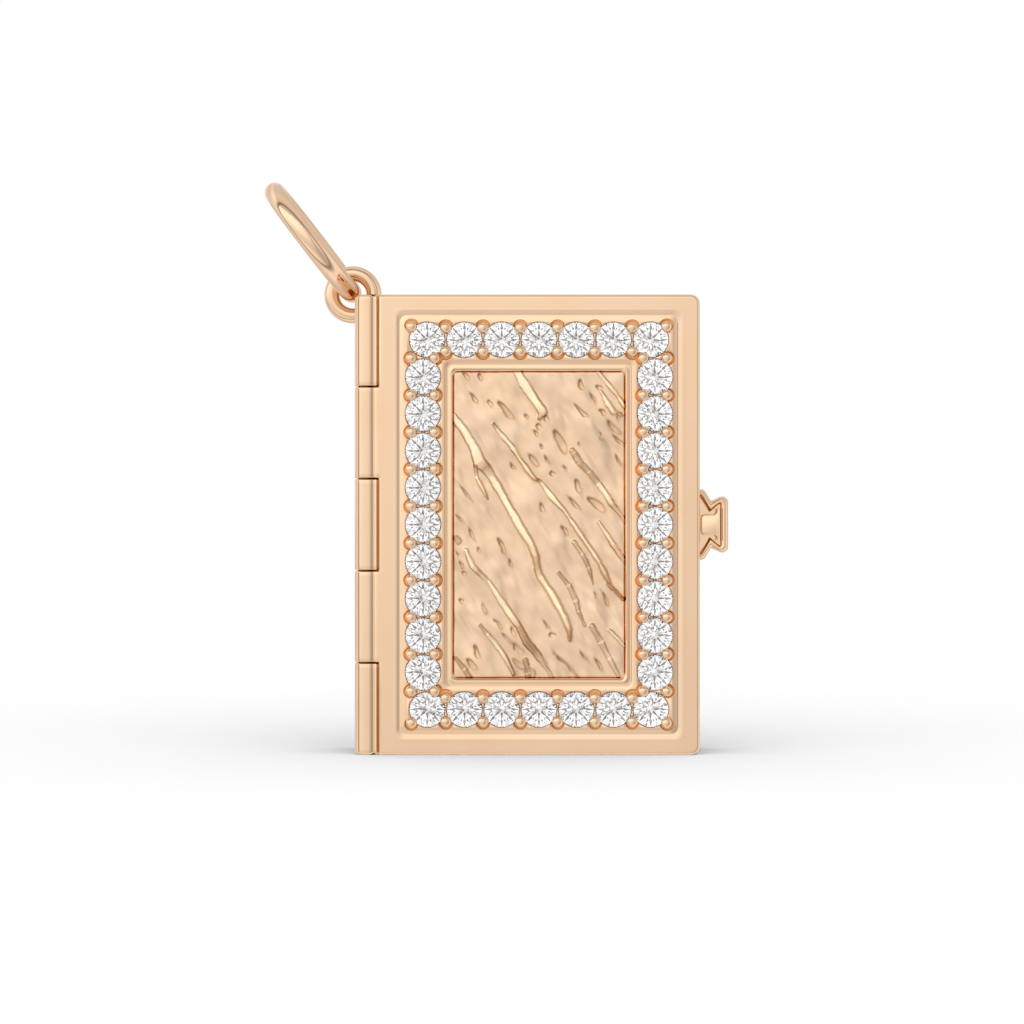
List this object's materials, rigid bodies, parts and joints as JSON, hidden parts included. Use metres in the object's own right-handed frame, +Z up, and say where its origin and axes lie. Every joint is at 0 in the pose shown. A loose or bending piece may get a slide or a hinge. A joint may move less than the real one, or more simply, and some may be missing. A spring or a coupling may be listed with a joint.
{
  "type": "locket pendant",
  "caption": "Book-shaped rose gold locket pendant with a hinged front cover, bark-textured panel, border of round brilliants, clasp and jump ring.",
  "frame": {"origin": "on the bottom edge, midway across the front cover's width, where the two covers meet", "axes": "+Z up along the covers, +X towards the clasp, -Y out of the front cover"},
  "size_m": [0.0174, 0.0056, 0.0214],
  "materials": {
    "rose_gold": "polished 14 karat rose gold",
    "textured_gold": "cast bark texture in 14 karat rose gold, softly polished",
    "brilliant": "cut and polished round brilliant"
  },
  "bodies": {
    "back": {"back_cover": "rose_gold", "hinge_pin": "rose_gold", "jump_ring": "rose_gold"},
    "front": {"front_cover": "rose_gold", "panel": "textured_gold", "stone_01": "brilliant", "stone_02": "brilliant", "stone_03": "brilliant", "stone_04": "brilliant", "stone_05": "brilliant", "stone_06": "brilliant", "stone_07": "brilliant", "stone_08": "brilliant", "stone_09": "brilliant", "stone_10": "brilliant", "stone_11": "brilliant", "stone_12": "brilliant", "stone_13": "brilliant", "stone_14": "brilliant", "stone_15": "brilliant", "stone_16": "brilliant", "stone_17": "brilliant", "stone_18": "brilliant", "stone_19": "brilliant", "stone_20": "brilliant", "stone_21": "brilliant", "stone_22": "brilliant", "stone_23": "brilliant", "stone_24": "brilliant", "stone_25": "brilliant", "stone_26": "brilliant", "stone_27": "brilliant", "stone_28": "brilliant", "stone_29": "brilliant", "stone_30": "brilliant", "stone_31": "brilliant", "stone_32": "brilliant"}
  },
  "joints": [
    {"name": "cover_hinge", "type": "hinge", "parent": "back", "child": "front", "pos_m": [-0.00641, -0.0006, 0.0085], "axis": [0, 0, -1], "range_deg": [0, 165]}
  ]
}
